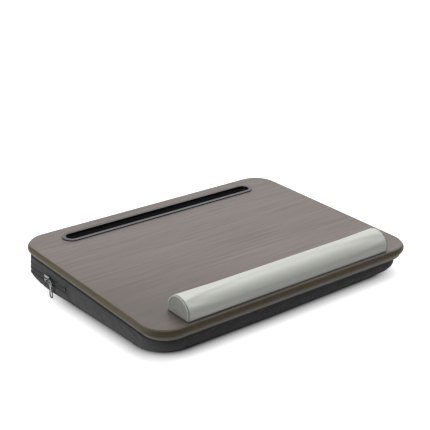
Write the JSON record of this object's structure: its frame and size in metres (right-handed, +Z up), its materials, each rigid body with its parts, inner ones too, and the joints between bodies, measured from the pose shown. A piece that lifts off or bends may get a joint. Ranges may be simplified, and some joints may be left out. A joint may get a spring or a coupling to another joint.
{
  "type": "cushioned lap desk",
  "caption": "Lap desk: a tilted wood-grain board with a rear device slot and a padded wrist rest, on a zipped wedge cushion.",
  "frame": {"origin": "on the supporting surface, below the middle of the board's outline", "axes": "+X to the user's right along the board's length, +Y to the rear where the device slot is, +Z up"},
  "size_m": [0.546, 0.4204, 0.0899],
  "materials": {
    "laminate": "satin wood-grain laminate, grain along the length",
    "core": "plain fibreboard",
    "band": "satin moulded plastic",
    "base": "satin plastic panel",
    "bezel": "glossy black plastic",
    "liner": "matt black plastic",
    "rest_cover": "smooth pale grey synthetic leather",
    "foam": "open foam",
    "rest_base": "matt plastic",
    "adhesive": "foam tape",
    "cover_fabric": "charcoal woven polyester",
    "zip_tape": "black woven tape",
    "zip_coil": "dark nylon coil",
    "zip_metal": "polished die-cast metal",
    "hook_loop": "black hook and loop"
  },
  "bodies": {
    "desk": {"top_laminate": "laminate", "board_core": "core", "edge_band": "band", "base_panel": "base", "slot_bezel": "bezel", "slot_liner": "liner", "wrist_rest_cover": "rest_cover", "wrist_rest_foam": "foam", "wrist_rest_base": "rest_base", "wrist_rest_tape": "adhesive", "wrist_rest_end_left": "rest_cover", "wrist_rest_end_right": "rest_cover", "hook_strips": "hook_loop", "loop_strips": "hook_loop", "cushion_foam": "foam", "cushion_top_panel": "cover_fabric", "cushion_bottom_panel": "cover_fabric", "cushion_boxing": "cover_fabric", "gusset_tab_left": "cover_fabric", "gusset_tab_right": "cover_fabric", "gusset_upper": "cover_fabric", "gusset_lower": "cover_fabric", "zip_tape_upper": "zip_tape", "zip_tape_lower": "zip_tape", "zip_coil_upper": "zip_coil", "zip_coil_lower": "zip_coil", "zip_end_stops": "zip_metal"},
    "zip_slider": {"zip_slider": "zip_metal"},
    "zip_link": {"zip_link": "zip_metal"},
    "zip_pull": {"zip_pull": "zip_metal"}
  },
  "joints": [
    {"name": "zip_slide", "type": "slide", "parent": "desk", "child": "zip_slider", "axis": [0, 1, 0], "range_m": [-0.046, 0.038]},
    {"name": "link_swing", "type": "hinge", "parent": "zip_slider", "child": "zip_link", "pos_m": [-0.2694, 0.121, 0.029], "axis": [0, 0, -1], "range_deg": [0, 100]},
    {"name": "pull_swing", "type": "hinge", "parent": "zip_link", "child": "zip_pull", "pos_m": [-0.2694, 0.1101, 0.029], "axis": [1, 0, 0], "range_deg": [-95, 20]}
  ]
}
